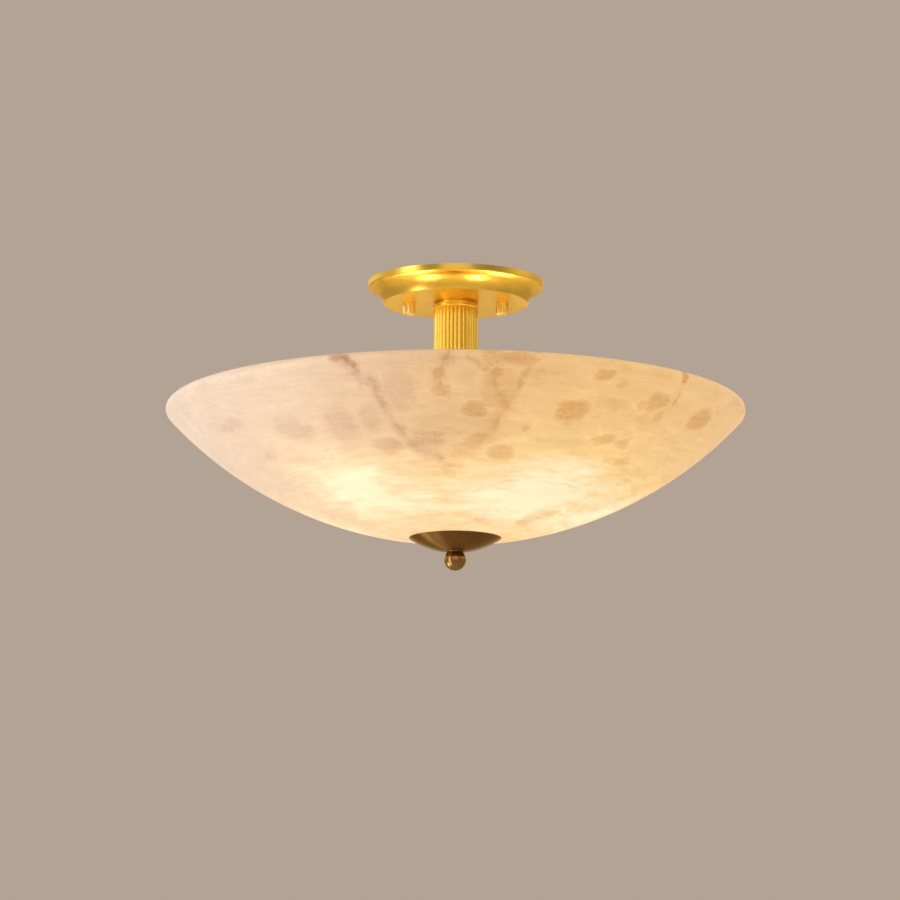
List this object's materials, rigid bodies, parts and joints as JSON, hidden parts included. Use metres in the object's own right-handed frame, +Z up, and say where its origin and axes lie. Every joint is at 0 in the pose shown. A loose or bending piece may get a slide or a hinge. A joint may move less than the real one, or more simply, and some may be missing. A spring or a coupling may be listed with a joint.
{
  "type": "semi-flush ceiling light",
  "caption": "Semi-flush ceiling light: a shallow veined stone bowl hung on a reeded brass stem from a round canopy, lit by bulbs inside it and closed by a ball finial.",
  "frame": {"origin": "middle of the two ceiling slots, on the plane where the bracket and the canopy meet the ceiling", "axes": "+Z up into the ceiling along the stem, +X along the bracket and the row of cap nuts, -Y towards the viewer of the picture"},
  "size_m": [0.3999, 0.4, 0.2025],
  "materials": {
    "zinc_steel": "zinc plated, dull",
    "polished_brass": "polished, lacquered gold",
    "satin_brass": "satin",
    "antique_brass": "aged, polished, dark gold",
    "alabaster": "polished, translucent, cream with amber veins",
    "clear_silicone": "soft, milky",
    "white_porcelain": "unglazed, white",
    "white_nylon": "matte, white",
    "frosted_bulb": "frosted, lit",
    "bright_steel": "bright",
    "brown_insulation": "matte, brown",
    "blue_insulation": "matte, blue",
    "green_insulation": "matte, green",
    "white_insulation": "matte, white"
  },
  "bodies": {
    "bracket": {"mounting_bracket": "zinc_steel", "bracket_studs": "zinc_steel", "stud_lock_nuts": "zinc_steel", "bracket_earth_screw": "satin_brass"},
    "canopy": {"canopy": "polished_brass", "tube_washer": "zinc_steel", "tube_top_nut": "zinc_steel", "threaded_tube": "zinc_steel", "stem_top_collar": "polished_brass", "reeded_stem": "polished_brass", "stem_bottom_collar": "polished_brass", "cluster_body": "satin_brass", "tube_bottom_nut": "zinc_steel", "cluster_cover": "satin_brass", "cover_screws": "zinc_steel", "junction_block": "white_nylon", "hanger_rod": "zinc_steel", "rod_top_nut": "zinc_steel", "rod_seat_nut": "zinc_steel", "seat_plate": "zinc_steel", "terminal_block": "white_nylon", "terminal_screws": "zinc_steel", "line_lead": "brown_insulation", "neutral_lead": "blue_insulation", "earth_stud": "satin_brass", "earth_lead": "green_insulation", "lamp_leads": "white_insulation", "lamp_arm_1": "satin_brass", "lamp_cup_1": "satin_brass", "lamp_holder_1": "white_porcelain", "lamp_arm_2": "satin_brass", "lamp_cup_2": "satin_brass", "lamp_holder_2": "white_porcelain", "lamp_arm_3": "satin_brass", "lamp_cup_3": "satin_brass", "lamp_holder_3": "white_porcelain", "lamp_arm_4": "satin_brass", "lamp_cup_4": "satin_brass", "lamp_holder_4": "white_porcelain"},
    "bowl": {"stone_bowl": "alabaster", "upper_cushion": "clear_silicone", "lower_cushion": "clear_silicone", "bottom_cap": "antique_brass"},
    "finial": {"ball_finial": "antique_brass"},
    "nut_left": {"cap_nut_left": "polished_brass"},
    "nut_right": {"cap_nut_right": "polished_brass"},
    "bulb_1": {"bulb_base_1": "white_nylon", "bulb_pins_1": "bright_steel", "bulb_envelope_1": "frosted_bulb"},
    "bulb_2": {"bulb_base_2": "white_nylon", "bulb_pins_2": "bright_steel", "bulb_envelope_2": "frosted_bulb"},
    "bulb_3": {"bulb_base_3": "white_nylon", "bulb_pins_3": "bright_steel", "bulb_envelope_3": "frosted_bulb"},
    "bulb_4": {"bulb_base_4": "white_nylon", "bulb_pins_4": "bright_steel", "bulb_envelope_4": "frosted_bulb"}
  },
  "joints": [
    {"name": "canopy_lower", "type": "slide", "parent": "bracket", "child": "canopy", "axis": [0, 0, 1], "range_m": [-0.0056, 0]},
    {"name": "nut_left_turn", "type": "hinge", "parent": "canopy", "child": "nut_left", "pos_m": [-0.0325, 0, -0.015], "axis": [0, 0, 1], "range_deg": [-2881, 1]},
    {"name": "nut_right_turn", "type": "hinge", "parent": "canopy", "child": "nut_right", "pos_m": [0.0325, 0, -0.015], "axis": [0, 0, 1], "range_deg": [-2881, 1]},
    {"name": "bowl_lower", "type": "slide", "parent": "canopy", "child": "bowl", "axis": [0, 0, 1], "range_m": [-0.009, 0]},
    {"name": "finial_turn", "type": "hinge", "parent": "bowl", "child": "finial", "pos_m": [0, 0, -0.1891], "axis": [0, 0, 1], "range_deg": [-3241, 1]},
    {"name": "bulb_1_pull", "type": "slide", "parent": "canopy", "child": "bulb_1", "axis": [0.7804, 0.6252, 0], "range_m": [0, 0.018]},
    {"name": "bulb_2_pull", "type": "slide", "parent": "canopy", "child": "bulb_2", "axis": [-0.6252, 0.7804, 0], "range_m": [0, 0.018]},
    {"name": "bulb_3_pull", "type": "slide", "parent": "canopy", "child": "bulb_3", "axis": [-0.7804, -0.6252, 0], "range_m": [0, 0.018]},
    {"name": "bulb_4_pull", "type": "slide", "parent": "canopy", "child": "bulb_4", "axis": [0.6252, -0.7804, 0], "range_m": [0, 0.018]}
  ],
  "couplings": [
    {"joint": "nut_left_turn", "follows": "canopy_lower", "rad_per_m": 8976},
    {"joint": "nut_right_turn", "follows": "canopy_lower", "rad_per_m": 8976},
    {"joint": "finial_turn", "follows": "bowl_lower", "rad_per_m": 6283.2}
  ]
}
